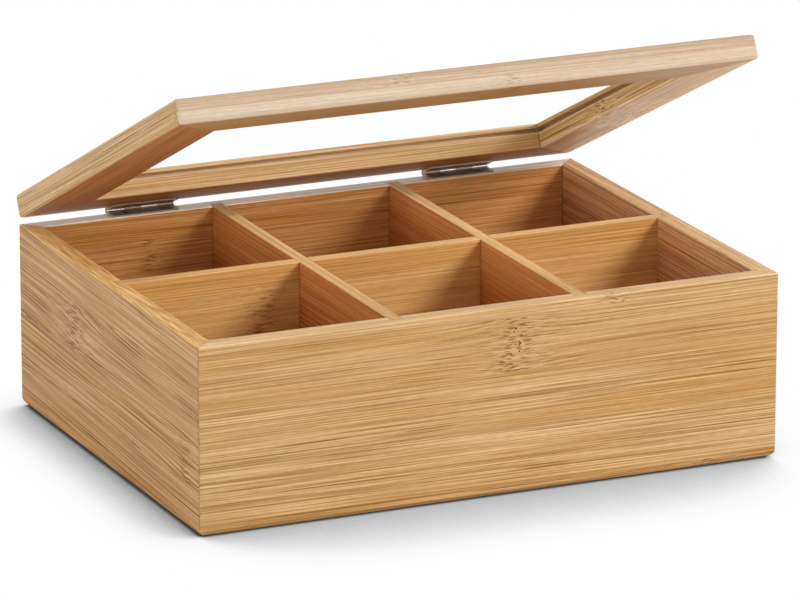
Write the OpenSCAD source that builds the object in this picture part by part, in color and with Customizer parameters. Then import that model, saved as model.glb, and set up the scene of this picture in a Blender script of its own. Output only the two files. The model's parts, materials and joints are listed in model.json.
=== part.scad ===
// Tea box with six compartments and a hinged, windowed lid.
// Four mitred walls stand round a grooved-in bottom panel, three cross-lapped dividers sit in
// housings, and a mitred frame with a clear pane swings on two small butt hinges.
// Origin: middle of the closed box with its hinge barrels, at the level it stands on.
// X to the right, Y to the back, Z up.

/* [Box] */
// Outside width of the box, left to right
box_w = 240; // [180:1:320]
// Outside depth of the box, front to back
box_d = 182; // [140:1:260]
// Height of the walls
box_h = 74; // [50:1:110]
// Thickness of the walls
wall_t = 7.5; // [7:0.5:12]

/* [Bottom panel] */
// Thickness of the bottom panel
panel_t = 4; // [3:0.5:6]
// Height of the panel's underside above the base
panel_lift = 3; // [2:0.5:6]
// Depth of the grooves that hold the panel
panel_groove = 3.7; // [2:0.1:4.5]

/* [Dividers] */
// Thickness of the divider boards
divider_t = 5; // [3:0.5:8]
// Depth of the housings that hold the divider ends
housing_depth = 3.7; // [2:0.1:4.5]

/* [Lid] */
// Thickness of the lid frame
lid_t = 10; // [9:0.5:14]
// Width of the rails and stiles of the lid frame
rail_w = 23.8; // [18:0.2:34]
// Thickness of the window pane
pane_t = 2; // [1.5:0.5:3]
// Depth of the groove that holds the pane
pane_groove = 5; // [3:0.5:8]
// Thickness of the wood above the pane's groove
pane_lip = 1.6; // [1.2:0.2:3]
// How far the lid stands open, in degrees
lid_angle = 25.5; // [0:0.5:105]

/* [Hinges] */
// Length of a hinge along its pin
hinge_len = 28; // [20:1:40]
// Distance from the end of the box to the middle of a hinge
hinge_end = 51.5; // [35:0.5:65]
// Number of knuckles on a hinge
knuckle_count = 4; // [4:2:6]
// Width of the flat part of a leaf
leaf_w = 6.5; // [5:0.25:6.75]
// Thickness of a leaf
leaf_t = 0.55; // [0.4:0.05:0.8]
// Diameter of the hinge pin
pin_d = 1.6; // [1.2:0.1:2.2]
// Rounding of a leaf's free corners
leaf_corner = 1; // [0.4:0.1:2]

/* [Screws] */
// Diameter of a screw's shank
screw_d = 1.8; // [1.4:0.1:2.2]
// Diameter of a countersunk head
head_d = 3.4; // [2.8:0.1:4]
// Length of a screw with its head
screw_len = 7; // [5:0.5:8]
// Distance between the two screws of a leaf
screw_pitch = 16; // [12:1:20]
// Width of the cross recess in a head
recess_w = 0.5; // [0.3:0.1:0.7]
// Depth of the cross recess in a head
recess_depth = 0.5; // [0.2:0.1:0.7]

/* [Edges] */
// Rounding of the lower outer edges of the box
base_round = 4; // [1:0.5:6]
// Rounding of the upper outer edges of the box
rim_round = 0.6; // [0.2:0.1:1.5]
// Rounding of the upright corners of the box
corner_round = 0.8; // [0.2:0.1:3]
// Rounding of the upper outer edges of the lid
lid_top_round = 3; // [0.5:0.25:4]
// Rounding of the lower outer edges of the lid
lid_under_round = 2.25; // [0.5:0.25:3]
// Rounding of the upright corners of the lid
lid_corner_round = 2.5; // [0.5:0.5:5]
// Easing of the inner edges that a hand meets
ease = 0.4; // [0.2:0.1:0.8]

/* [Clearances] */
// Play of a divider in its housings and laps, on each side
housing_play = 0.05; // [0.02:0.01:0.15]
// Play above the bottom panel in its groove
panel_play = 0.1; // [0.05:0.05:0.3]
// Play above the window pane in its groove
pane_play = 0.15; // [0.05:0.05:0.3]
// Play between a board's end and the foot of its groove
end_play = 0.3; // [0.1:0.1:0.8]
// Play between the two leaves of a closed hinge
leaf_play = 0.2; // [0.1:0.05:0.5]
// Radial play of the pin in the knuckles
pin_play = 0.05; // [0.02:0.01:0.1]
// Play between neighbouring knuckles
knuckle_play = 0.15; // [0.1:0.05:0.4]
// Play between the knuckles and the back of the box
barrel_play = 0.15; // [0.1:0.05:0.5]
// Play round a screw in its pilot hole
screw_play = 0.02; // [0.01:0.01:0.05]

/* [Hidden] */
$fn = 64;

bamboo_front = "burlywood";
bamboo_side = "tan";
bamboo_inner = "peru";
bamboo_lid = "sandybrown";
hinge_metal = "silver";
screw_metal = "gainsboro";
clear_pane = [0.85, 0.95, 0.95, 0.3];

// Cuts run this far past the surface they open
over = 1;

// Inside of the box
inner_w = box_w - 2 * wall_t;
inner_d = box_d - 2 * wall_t;
panel_top = panel_lift + panel_t;

// Dividers: three equal columns, two equal rows
divider_h = box_h - panel_top;
column_w = (inner_w - 2 * divider_t) / 3;
divider_x = (column_w + divider_t) / 2;
lap_w = divider_t + 2 * housing_play;
divider_reach = 2 * (housing_depth - end_play);

// Hinges: the leaves lie between wall and lid, the barrel stands behind them
lid_gap = 2 * leaf_t + leaf_play;
lid_z = box_h + lid_gap;
bore_r = pin_d / 2 + pin_play;
barrel_r = bore_r + leaf_t;
axis_back = barrel_r + barrel_play;
box_y = -(axis_back + barrel_r) / 2;
axis_y = box_y + box_d / 2 + axis_back;
axis_z = box_h + lid_gap / 2;
knuckle_len = (hinge_len - (knuckle_count - 1) * knuckle_play) / knuckle_count;
knuckle_step = knuckle_len + knuckle_play;
hinge_x = box_w / 2 - hinge_end;

// Window pane, high in the frame, standing on the lower face of its groove
pane_w = box_w - 2 * (rail_w - pane_groove + end_play);
pane_d = box_d - 2 * (rail_w - pane_groove + end_play);
pane_z = lid_t - pane_lip - pane_t - pane_play;

// ---------------------------------------------------------------- profiles

// What a quarter round of radius r leaves over in a square corner at the origin
module corner_waste(r) {
    difference() {
        translate([-over, -over]) square(r + over);
        translate([r, r]) circle(r = r);
    }
}

// Section of a board: x runs inwards from its outer face, y upwards
module board_section(thick, high, outer_low, inner_low, inner_high, outer_high) {
    difference() {
        square([thick, high]);
        corner_waste(outer_low);
        translate([thick, 0]) mirror([1, 0]) corner_waste(inner_low);
        translate([thick, high]) rotate(180) corner_waste(inner_high);
        translate([0, high]) mirror([0, 1]) corner_waste(outer_high);
    }
}

// Outline of box or lid seen from above, with rounded corners
module plan(wide, deep, r) {
    difference() {
        square([wide, deep], center = true);
        for (sx = [-1, 1], sy = [-1, 1])
            translate([sx * wide / 2, sy * deep / 2])
                mirror([sx > 0 ? 1 : 0, 0])
                    mirror([0, sy > 0 ? 1 : 0])
                        corner_waste(r);
    }
}

// ------------------------------------------------------------ mitred boards

// A board of the given section along X, its outer face on y = 0, both ends cut at 45 degrees
module mitred_board(long, thick, high) {
    intersection() {
        rotate([90, 0, 90]) linear_extrude(long, center = true) children();
        linear_extrude(high)
            polygon([
                [-long / 2, 0],
                [long / 2, 0],
                [long / 2 - thick, thick],
                [-long / 2 + thick, thick]
            ]);
    }
}

// Moves what was drawn round the middle of the walls to its place before the barrels
module on_box() {
    translate([0, box_y, 0]) children();
}

// Puts a board that was made for the front on one of the four sides
module on_side(side) {
    if (side == "front") translate([0, -box_d / 2, 0]) children();
    if (side == "rear") mirror([0, 1, 0]) translate([0, -box_d / 2, 0]) children();
    if (side == "left") rotate(-90) translate([0, -box_w / 2, 0]) children();
    if (side == "right") rotate(90) translate([0, -box_w / 2, 0]) children();
}

// --------------------------------------------------------------------- box

// Section of a wall, with the groove for the bottom panel
module wall_section() {
    difference() {
        board_section(wall_t, box_h, base_round, ease, ease, rim_round);
        translate([wall_t - panel_groove, panel_lift])
            square([panel_groove + over, panel_t + panel_play]);
    }
}

// Housing for a divider's end, open at the top
module housing(x) {
    translate([x - lap_w / 2, wall_t - housing_depth, panel_top])
        cube([lap_w, housing_depth + over, divider_h + over]);
}

module wall(side, long, housings) {
    on_box() intersection() {
        on_side(side)
            difference() {
                mitred_board(long, wall_t, box_h) wall_section();
                for (x = housings) housing(x);
            }
        linear_extrude(box_h) plan(box_w, box_d, corner_round);
    }
}

module front_wall() {
    color(bamboo_front) wall("front", box_w, [-divider_x, divider_x]);
}

module rear_wall() {
    color(bamboo_front)
        difference() {
            wall("rear", box_w, [-divider_x, divider_x]);
            for (x = [-hinge_x, hinge_x]) at_hinge(x) at_screws() screw_body(screw_play);
        }
}

module left_wall() {
    color(bamboo_side) wall("left", box_d, [0]);
}

module right_wall() {
    color(bamboo_side) wall("right", box_d, [0]);
}

module bottom_panel() {
    reach = 2 * (panel_groove - end_play);
    color(bamboo_inner)
        on_box()
            translate([-(inner_w + reach) / 2, -(inner_d + reach) / 2, panel_lift])
                cube([inner_w + reach, inner_d + reach, panel_t]);
}

// ---------------------------------------------------------------- dividers

// A divider board along X, standing on the bottom panel, flush with the rim
module divider_board(long) {
    translate([0, -divider_t / 2, panel_top])
        rotate([90, 0, 90])
            linear_extrude(long, center = true)
                board_section(divider_t, divider_h, ease / 2, ease / 2, ease, ease);
}

// Runs from front to back over the cross divider, notched from below
module column_divider() {
    color(bamboo_inner)
        on_box() difference() {
            rotate(90) divider_board(inner_d + divider_reach);
            translate([-divider_t / 2 - over, -lap_w / 2, panel_top - over])
                cube([divider_t + 2 * over, lap_w, divider_h / 2 + housing_play + over]);
        }
}

module divider_left() {
    translate([-divider_x, 0, 0]) column_divider();
}

module divider_right() {
    translate([divider_x, 0, 0]) column_divider();
}

// Runs from left to right under the other two, notched from above
module cross_divider() {
    color(bamboo_inner)
        on_box() difference() {
            divider_board(inner_w + divider_reach);
            for (x = [-divider_x, divider_x])
                translate([x - lap_w / 2, -divider_t / 2 - over, panel_top + divider_h / 2])
                    cube([lap_w, divider_t + 2 * over, divider_h / 2 + over]);
        }
}

// --------------------------------------------------------------------- lid

// Swings what was drawn on the closed box about the hinge axis
module swung() {
    translate([0, axis_y, axis_z])
        rotate([-lid_angle, 0, 0])
            translate([0, -axis_y, -axis_z])
                children();
}

// Section of a rail or stile, with the groove for the pane
module rail_section() {
    difference() {
        board_section(rail_w, lid_t, lid_under_round, ease, ease, lid_top_round);
        translate([rail_w - pane_groove, pane_z])
            square([pane_groove + over, pane_t + pane_play]);
    }
}

module lid_member(side, long) {
    on_box() translate([0, 0, lid_z])
        intersection() {
            on_side(side) mitred_board(long, rail_w, lid_t) rail_section();
            linear_extrude(lid_t) plan(box_w, box_d, lid_corner_round);
        }
}

module lid_front_rail() {
    color(bamboo_lid) swung() lid_member("front", box_w);
}

module lid_rear_rail() {
    color(bamboo_lid)
        swung()
            difference() {
                lid_member("rear", box_w);
                for (x = [-hinge_x, hinge_x])
                    at_hinge(x) mirror([0, 0, 1]) at_screws() screw_body(screw_play);
            }
}

module lid_left_stile() {
    color(bamboo_side) swung() lid_member("left", box_d);
}

module lid_right_stile() {
    color(bamboo_side) swung() lid_member("right", box_d);
}

module lid_window() {
    color(clear_pane)
        swung()
            on_box()
                translate([-pane_w / 2, -pane_d / 2, lid_z + pane_z])
                    cube([pane_w, pane_d, pane_t]);
}

// ------------------------------------------------------------------ hinges

// Local frame of a hinge: the pin lies along X, the box leaf below y = 0 towards the front
module at_hinge(x) {
    translate([x, axis_y, axis_z]) children();
}

// Flat part of a leaf from above, rounded at its two free corners
module leaf_plan() {
    translate([-hinge_len / 2, -axis_back - leaf_w])
        difference() {
            square([hinge_len, leaf_w]);
            corner_waste(leaf_corner);
            translate([hinge_len, 0]) mirror([1, 0]) corner_waste(leaf_corner);
        }
}

// One knuckle: the strip that leads to it and the eye rolled from it
module knuckle(index) {
    translate([index * knuckle_step - hinge_len / 2, 0, 0]) {
        translate([0, -axis_back - leaf_w / 2, -lid_gap / 2])
            cube([knuckle_len, axis_back + leaf_w / 2, leaf_t]);
        rotate([0, 90, 0]) cylinder(r = barrel_r, h = knuckle_len);
    }
}

// A leaf with every other knuckle, starting from the given one
module leaf(first) {
    difference() {
        union() {
            translate([0, 0, -lid_gap / 2]) linear_extrude(leaf_t) leaf_plan();
            for (index = [first : 2 : knuckle_count - 1]) knuckle(index);
        }
        rotate([0, 90, 0]) cylinder(r = bore_r, h = hinge_len + 2 * over, center = true);
        at_screws() screw_body(screw_play);
    }
}

module hinge_pin() {
    chamfer = pin_d / 8;
    color(hinge_metal)
        translate([-hinge_len / 2, 0, 0])
            rotate([0, 90, 0])
                rotate_extrude()
                    polygon([
                        [0, 0],
                        [pin_d / 2 - chamfer, 0],
                        [pin_d / 2, chamfer],
                        [pin_d / 2, hinge_len - chamfer],
                        [pin_d / 2 - chamfer, hinge_len],
                        [0, hinge_len]
                    ]);
}

module hinge_left_box_leaf() {
    color(hinge_metal) at_hinge(-hinge_x) leaf(0);
}

module hinge_left_lid_leaf() {
    color(hinge_metal) swung() at_hinge(-hinge_x) mirror([0, 0, 1]) leaf(1);
}

module hinge_left_pin() {
    at_hinge(-hinge_x) hinge_pin();
}

module hinge_right_box_leaf() {
    color(hinge_metal) at_hinge(hinge_x) leaf(1);
}

module hinge_right_lid_leaf() {
    color(hinge_metal) swung() at_hinge(hinge_x) mirror([0, 0, 1]) leaf(0);
}

module hinge_right_pin() {
    at_hinge(hinge_x) hinge_pin();
}

// ------------------------------------------------------------------ screws

// A countersunk screw, head up, its face on z = 0, grown all round by the given play
module screw_body(play) {
    head_h = (head_d - screw_d) / 2;
    tip_h = screw_d / 2;
    rotate_extrude()
        polygon([
            [0, -screw_len - play],
            [screw_d / 2 + play, -screw_len + tip_h - play],
            [screw_d / 2 + play, -head_h],
            [head_d / 2 + play, 0],
            [head_d / 2 + play, play],
            [0, play]
        ]);
}

// The two places where screws go through a box leaf, in the hinge's local frame
module at_screws() {
    for (side = [-1, 1])
        translate([side * screw_pitch / 2, -axis_back - leaf_w / 2, leaf_t - lid_gap / 2])
            children();
}

module cross_recess() {
    long = head_d / 2;
    for (turn = [0, 90])
        rotate(turn)
            translate([-long / 2, -recess_w / 2, -recess_depth])
                cube([long, recess_w, recess_depth + over]);
}

module hinge_screws() {
    at_screws()
        difference() {
            screw_body(0);
            cross_recess();
        }
}

module box_hinge_screws() {
    color(screw_metal)
        for (x = [-hinge_x, hinge_x]) at_hinge(x) hinge_screws();
}

module lid_hinge_screws() {
    color(screw_metal)
        swung()
            for (x = [-hinge_x, hinge_x]) at_hinge(x) mirror([0, 0, 1]) hinge_screws();
}

// ---------------------------------------------------------------- assembly

front_wall();
rear_wall();
left_wall();
right_wall();
bottom_panel();
divider_left();
divider_right();
cross_divider();
lid_front_rail();
lid_rear_rail();
lid_left_stile();
lid_right_stile();
lid_window();
hinge_left_box_leaf();
hinge_left_lid_leaf();
hinge_left_pin();
hinge_right_box_leaf();
hinge_right_lid_leaf();
hinge_right_pin();
box_hinge_screws();
lid_hinge_screws();
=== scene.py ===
# %% [markdown]
# # Tea box with a windowed lid
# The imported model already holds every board, leaf, pin and screw at its true size. This script dresses
# them: lacquered bamboo for the boards, dim plated steel for the hinges and clear glass for the pane.
# Then it lays out a plain table top, soft lamps and a camera. All lengths are metres unless a name says mm.

import json
import math
import random

import bpy
from mathutils import Matrix, Vector


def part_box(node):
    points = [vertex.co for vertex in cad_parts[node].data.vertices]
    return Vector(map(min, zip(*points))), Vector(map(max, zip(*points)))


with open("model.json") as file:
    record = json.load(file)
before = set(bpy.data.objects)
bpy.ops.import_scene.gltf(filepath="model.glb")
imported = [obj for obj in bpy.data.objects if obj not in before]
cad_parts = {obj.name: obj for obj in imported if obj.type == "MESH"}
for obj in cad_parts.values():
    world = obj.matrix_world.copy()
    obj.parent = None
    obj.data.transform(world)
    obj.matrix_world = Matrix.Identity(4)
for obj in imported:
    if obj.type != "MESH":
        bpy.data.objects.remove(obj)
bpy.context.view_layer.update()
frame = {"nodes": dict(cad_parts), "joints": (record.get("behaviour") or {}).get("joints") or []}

MM = 0.001
TO_MM = 1000.0

# %% [markdown]
# ## The box in numbers
# A pattern has to know where a board lies before its grain can run the right way. The parts say this
# themselves, so the middle of the walls, the corners and the lid's pivot are read from them here.

# %% Read the places that the finishes need
front_low, front_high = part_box("front_wall")
left_low, left_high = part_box("left_wall")
wall_middle_y = (left_low.y + left_high.y) / 2
half_wide = front_high.x
half_deep = (left_high.y - left_low.y) / 2
wall_high = front_high.z
wall_thick = front_high.y - front_low.y
divider_low, divider_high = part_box("divider_left")
divider_middle_x = (divider_low.x + divider_high.x) / 2
panel_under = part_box("bottom_panel")[0].z
lid_pivot = Vector(frame["joints"][0]["pos_m"])
lid_open = -math.radians(frame["joints"][0]["range_deg"][0])
lid_under = 2 * lid_pivot.z - wall_high
print("walls:", half_wide * 2, half_deep * 2, wall_high, "lid open by", math.degrees(lid_open))

# %% [markdown]
# ## Camera
# The box is seen from a little to its left and a little above, with a long lens, so its edges stay
# nearly parallel. The camera stands on a line from a target point, given by a turn and a height angle.

# %% Place the camera
VIEW_TURN = math.radians(-24.348)
VIEW_RISE = math.radians(16.558)
VIEW_ROLL = math.radians(0.078)
VIEW_DISTANCE = 2.5292
VIEW_TARGET = Vector((-0.00073, -0.00876, 0.05517))
LENS_MM = 294.7
FARTHEST_SEEN = 50.0


def direction(turn, rise):
    """Points out from the box: turn goes from the front to the right, rise goes up from level."""
    return Vector((math.sin(turn) * math.cos(rise), -math.cos(turn) * math.cos(rise), math.sin(rise)))


back = direction(VIEW_TURN, VIEW_RISE)
camera_data = bpy.data.cameras.new("camera")
camera_data.lens = LENS_MM
camera_data.clip_end = FARTHEST_SEEN
camera = bpy.data.objects.new("camera", camera_data)
bpy.context.scene.collection.objects.link(camera)
turned = back.to_track_quat("Z", "Y").to_matrix().to_4x4()
camera.matrix_world = (
    Matrix.Translation(VIEW_TARGET + back * VIEW_DISTANCE)
    @ turned
    @ Matrix.Rotation(VIEW_ROLL, 4, "Z")
)
bpy.context.scene.camera = camera
print("camera at", [round(v, 3) for v in camera.matrix_world.translation])

# %% [markdown]
# ## A bench for node trees
# Every finish is a tree of small nodes. Writing one by hand takes many lines, so a helper stands for the
# bench: it adds a node, joins what is a socket, and sets what is a plain number. Most masks are ramps
# between a pair of values, which say where the mask starts and where it is full. Noise seldom leaves
# NOISE_SPAN, so that pair turns it into a whole range.

# %% The bench
NODES_IN_ROW, COLUMN_STEP, ROW_STEP = 12, 190, 320
MIX_SHARE, MIX_FIRST, MIX_SECOND, MIX_RESULT = 0, 6, 7, 2
NOISE_SPAN = (0.3, 0.7)


class Bench:
    """A node tree that is being put together."""

    def __init__(self, tree):
        self.tree = tree
        self.tree.nodes.clear()
        self.placed = 0

    def node(self, kind, inputs=None, **settings):
        """Adds a node with its settings, and feeds its inputs by name."""
        node = self.tree.nodes.new(kind)
        row, column = divmod(self.placed, NODES_IN_ROW)
        node.location = (column * COLUMN_STEP, -row * ROW_STEP)
        self.placed += 1
        for name, value in settings.items():
            setattr(node, name, value)
        for name, value in (inputs or {}).items():
            self.feed(node.inputs[name], value)
        return node

    def feed(self, socket, value):
        if isinstance(value, bpy.types.NodeSocket):
            self.tree.links.new(value, socket)
        elif value is not None:
            socket.default_value = value

    def math(self, operation, a, b=None, c=None, clamp=False):
        node = self.node("ShaderNodeMath", operation=operation, use_clamp=clamp)
        for socket, value in zip(node.inputs, (a, b, c)):
            self.feed(socket, value)
        return node.outputs[0]

    def vector(self, operation, a, b=None):
        node = self.node("ShaderNodeVectorMath", operation=operation)
        for socket, value in zip(node.inputs, (a, b)):
            self.feed(socket, value)
        return node.outputs["Value" if operation in ("DOT_PRODUCT", "LENGTH") else "Vector"]

    def split(self, vector):
        return self.node("ShaderNodeSeparateXYZ", {"Vector": vector}).outputs

    def point(self, x, y, z):
        return self.node("ShaderNodeCombineXYZ", {"X": x, "Y": y, "Z": z}).outputs[0]

    def ramp(self, value, low, high, to_low=0.0, to_high=1.0, soft=True):
        """Goes from one result to the other while the value goes from low to high, and stays there."""
        kind = "SMOOTHSTEP" if soft else "LINEAR"
        places = {"Value": value, "From Min": low, "From Max": high, "To Min": to_low, "To Max": to_high}
        return self.node("ShaderNodeMapRange", places, interpolation_type=kind).outputs["Result"]

    def fall(self, value, low, high):
        """1 up to low, 0 from high on."""
        return self.ramp(value, low, high, 1.0, 0.0)

    def blend(self, share, a, b, way="MIX"):
        """Colour a with a share of colour b."""
        node = self.node("ShaderNodeMix", data_type="RGBA", blend_type=way)
        for place, value in zip((MIX_SHARE, MIX_FIRST, MIX_SECOND), (share, a, b)):
            self.feed(node.inputs[place], value)
        return node.outputs[MIX_RESULT]

    def curve(self, value, stops):
        """A line through several (value, result) stops."""
        return self.colour_stops(value, [(place, (result,) * 3) for place, result in stops])

    def colour_stops(self, value, stops, steps=False):
        """Colours by value, blending between the stops, or in steps that each start at a stop."""
        node = self.node("ShaderNodeValToRGB", {"Fac": value})
        scale = node.color_ramp
        scale.interpolation = "CONSTANT" if steps else "LINEAR"
        while len(scale.elements) < len(stops):
            scale.elements.new(1.0)
        for element, (place, colour) in zip(scale.elements, stops):
            element.position = place
            element.color = (*colour, 1.0)
        return node.outputs["Color"]

    def noise(self, vector, stretch, seed, detail=2.0, rough=0.5):
        """Soft noise whose spots are as long as stretch says, in mm."""
        scaled = self.vector("MULTIPLY", vector, [1.0 / length for length in stretch])
        settings = {"Vector": scaled, "W": seed, "Scale": 1.0, "Detail": detail, "Roughness": rough}
        return self.node("ShaderNodeTexNoise", settings, noise_dimensions="4D").outputs["Fac"]

    def cells(self, vector, stretch):
        """Scattered long cells; gives the distance from the nearest one's middle, and its colour."""
        scaled = self.vector("MULTIPLY", vector, [1.0 / length for length in stretch])
        node = self.node("ShaderNodeTexVoronoi", {"Vector": scaled, "Scale": 1.0})
        return node.outputs["Distance"], node.outputs["Color"]


print("bench ready")

# %% Node groups
SOCKETS = {"number": "NodeSocketFloat", "vector": "NodeSocketVector", "colour": "NodeSocketColor"}


def new_group(name, inputs, outputs):
    """A shader node group with named inputs and outputs, and the bench to fill it on."""
    tree = bpy.data.node_groups.new(name, "ShaderNodeTree")
    for label, (kind, value) in inputs.items():
        socket = tree.interface.new_socket(name=label, in_out="INPUT", socket_type=SOCKETS[kind])
        if value is not None:
            socket.default_value = value
    for label, kind in outputs.items():
        tree.interface.new_socket(name=label, in_out="OUTPUT", socket_type=SOCKETS[kind])
    bench = Bench(tree)
    given = bench.node("NodeGroupInput").outputs
    return tree, bench, given


def hand_out(bench, **results):
    """Joins results to the group's outputs; a name's underscores stand for blanks."""
    bench.node("NodeGroupOutput", {name.replace("_", " "): value for name, value in results.items()})


def place_group(bench, group, **inputs):
    """Puts a group on a bench and feeds its inputs; a name's underscores stand for blanks."""
    node = bench.node("ShaderNodeGroup")
    node.node_tree = group
    for name, value in inputs.items():
        bench.feed(node.inputs[name.replace("_", " ")], value)
    return node.outputs


print("node groups can be made of:", sorted(SOCKETS))

# %% [markdown]
# ## Bamboo, strip by strip
# A bamboo board is glued up from split strips of the culm, about 20 mm wide, and the grain of one doesn't
# carry on into the next. The group counts the strips across a board, moves the grain of each one to
# another place, lets it lean a little, and marks the thin glue seams between them. A seam's two values
# say how far from its middle it is still full, and where it ends, in mm.

# %% Group: strips
SEAM_FULL, SEAM_END = 0.06, 0.24
LEAN_SPREAD = 0.014
MOST_ALONG, MOST_DEEP = 900.0, 300.0
STRIP_DRAW = 3.7

strips_group, bench, given = new_group(
    "bamboo_strips",
    {
        "Board": ("vector", None),
        "Strip Width": ("number", 20.0),
        "Strip Shift": ("number", 0.0),
        "Seed": ("number", 0.0),
        "Lean": ("number", 0.0),
    },
    {"Grain": "vector", "Seam": "number"},
)
along, up, deep = bench.split(given["Board"])
counted = bench.math("DIVIDE", bench.math("SUBTRACT", up, given["Strip Shift"]), given["Strip Width"])
strip_number = bench.point(bench.math("FLOOR", counted), given["Seed"], STRIP_DRAW)
drawn = bench.node("ShaderNodeTexWhiteNoise", {"Vector": strip_number})
red, green, blue = bench.split(drawn.outputs["Color"])
to_seam = bench.math("MULTIPLY", bench.math("PINGPONG", counted, 0.5), given["Strip Width"])
seam = bench.fall(to_seam, SEAM_FULL, SEAM_END)
lean = bench.math("MULTIPLY_ADD", bench.math("SUBTRACT", blue, 0.5), LEAN_SPREAD, given["Lean"])
moved_along = bench.math("MULTIPLY_ADD", red, MOST_ALONG, along)
moved_up = bench.math("MULTIPLY_ADD", along, lean, up)
moved_deep = bench.math("MULTIPLY_ADD", green, MOST_DEEP, deep)
hand_out(bench, Grain=bench.point(moved_along, moved_up, moved_deep), Seam=seam)
print("strips group:", len(strips_group.nodes), "nodes")

# %% [markdown]
# ## Knots
# Where the culm had a joint, a strip shows a knot: a narrow column of short wavy dashes with a few dark
# pits, and a paler halo in which the fibres bow apart. A knot stays inside its strip. The group bends
# the board's own coordinates round that place, so whatever grain is drawn later follows. The sizes are in
# mm: along the board, up it and into it.

# %% Group: knot
SWAY_SIZE, MOST_SWAY = (30.0, 7.0, 7.0), 2.5
WAVE_SIZE, WAVE_HEIGHT = (5.0, 2.5, 2.5), 1.7
CORE_FALL, HALO_FALL = -1.0, -0.07
STRIP_BORDER = (-0.1, 0.5)
DASH_SIZE, DASH_SQUEEZE, SQUEEZE_RISE = (23.0, 0.62, 0.62), 70.0, 0.3
DASH_BORDER, DASHES_IN_CORE = (0.26, 0.48), (0.05, 0.5)
DASHES_IN_HALO, MOST_IN_HALO = (0.15, 0.8), 0.55
PIT_SIZE, PIT_BORDER = (1.7, 2.4, 2.4), (0.13, 0.22)
PITS_PICKED, PITS_IN_CORE = (0.15, 0.2), (0.82, 0.9)

knot_group, bench, given = new_group(
    "culm_knot",
    {
        "Board": ("vector", None),
        "Along": ("number", 0.0),
        "Low": ("number", 0.0),
        "High": ("number", 20.0),
        "Spread": ("number", 6.0),
        "Bow": ("number", 0.3),
        "Strength": ("number", 1.0),
    },
    {"Board": "vector", "Core": "number", "Halo": "number", "Pits": "number"},
)
along, up, deep = bench.split(given["Board"])
sway = bench.noise(given["Board"], SWAY_SIZE, seed=4.0)
off = bench.math("SUBTRACT", along, given["Along"])
off = bench.math("ADD", off, bench.ramp(sway, *NOISE_SPAN, -MOST_SWAY, MOST_SWAY, soft=False))
above = bench.ramp(bench.math("SUBTRACT", up, given["Low"]), *STRIP_BORDER)
below = bench.ramp(bench.math("SUBTRACT", given["High"], up), *STRIP_BORDER)
within = bench.math("MULTIPLY", bench.math("MULTIPLY", above, below), given["Strength"])
near = bench.math("DIVIDE", off, given["Spread"])
squared = bench.math("MULTIPLY", near, near)
core = bench.math("MULTIPLY", bench.math("EXPONENT", bench.math("MULTIPLY", squared, CORE_FALL)), within)
halo = bench.math("MULTIPLY", bench.math("EXPONENT", bench.math("MULTIPLY", squared, HALO_FALL)), within)
squeeze = bench.math("MULTIPLY", bench.math("TANH", bench.math("MULTIPLY", near, SQUEEZE_RISE)), DASH_SQUEEZE)
moved_along = bench.math("MULTIPLY_ADD", squeeze, within, along)
middle = bench.math("MULTIPLY", bench.math("ADD", given["Low"], given["High"]), 0.5)
from_middle = bench.math("SUBTRACT", up, middle)
bowed = bench.math("MULTIPLY", bench.math("MULTIPLY", from_middle, halo), given["Bow"])
wave = bench.noise(given["Board"], WAVE_SIZE, seed=9.0, detail=1.0)
wave = bench.math("MULTIPLY", bench.math("SUBTRACT", wave, 0.5), bench.math("MULTIPLY", core, WAVE_HEIGHT))
moved_up = bench.math("ADD", bench.math("SUBTRACT", up, bowed), wave)
dash_far = bench.cells(bench.point(moved_along, moved_up, deep), DASH_SIZE)[0]
in_halo = bench.ramp(halo, *DASHES_IN_HALO, 0.0, MOST_IN_HALO)
dashed = bench.math("MAXIMUM", bench.ramp(core, *DASHES_IN_CORE), in_halo)
dashes = bench.math("MULTIPLY", bench.fall(dash_far, *DASH_BORDER), dashed)
flat = bench.point(along, up, 0.0)
pit_far, pit_tint = bench.cells(flat, PIT_SIZE)
picked = bench.ramp(bench.split(pit_tint)[0], *PITS_PICKED)
pits = bench.math("MULTIPLY", bench.fall(pit_far, *PIT_BORDER), picked)
pits = bench.math("MULTIPLY", pits, bench.ramp(core, *PITS_IN_CORE))
hand_out(bench, Board=bench.point(moved_along, moved_up, deep), Core=dashes, Halo=halo, Pits=pits)
print("knot group:", len(knot_group.nodes), "nodes")

# %% [markdown]
# ## Fibres
# Several sizes of grain lie over each other: broad soft patches, bands, fine threads, and the thin dark
# lines of the fibre bundles. Stretched noise makes the first ones. The lines are stretched cells, which
# look like lines on the faces of a board and like dots on its end, as the real bundles do. The sizes are
# in mm, along the grain and twice across it.

# %% Group: fibres
GRAIN_SIZES = {
    "patch": (170.0, 8.0, 8.0),
    "band": (260.0, 2.2, 2.2),
    "thread": (170.0, 0.5, 0.5),
    "hair": (60.0, 0.4, 0.4),
    "pore": (4.5, 0.5, 0.5),
    "crowd": (90.0, 3.0, 3.0),
    "short": (60.0, 0.85, 0.85),
    "long": (220.0, 1.4, 1.4),
}
PORE_SEED, CROWD_SEED = 53.0, 17.0
CROWDED, CROWDING_WEIGHT = (0.55, 0.85), 0.5
LINE_BORDERS = {"short": (0.17, 0.31), "long": (0.11, 0.19)}
LINE_TINTS = {"short": (0.2, 0.9), "long": (0.3, 0.9)}
SIZES_OF_GRAIN = ("Patch", "Band", "Thread", "Hair", "Pore", "Line")


def bundle_lines(bench, grain, size):
    """Fibre bundles, each a stretched cell that is as dark as the cell's own colour says."""
    far, tint = bench.cells(grain, GRAIN_SIZES[size])
    darkness = bench.ramp(bench.split(tint)[0], *LINE_TINTS[size])
    return bench.math("MULTIPLY", bench.fall(far, *LINE_BORDERS[size]), darkness)


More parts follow.
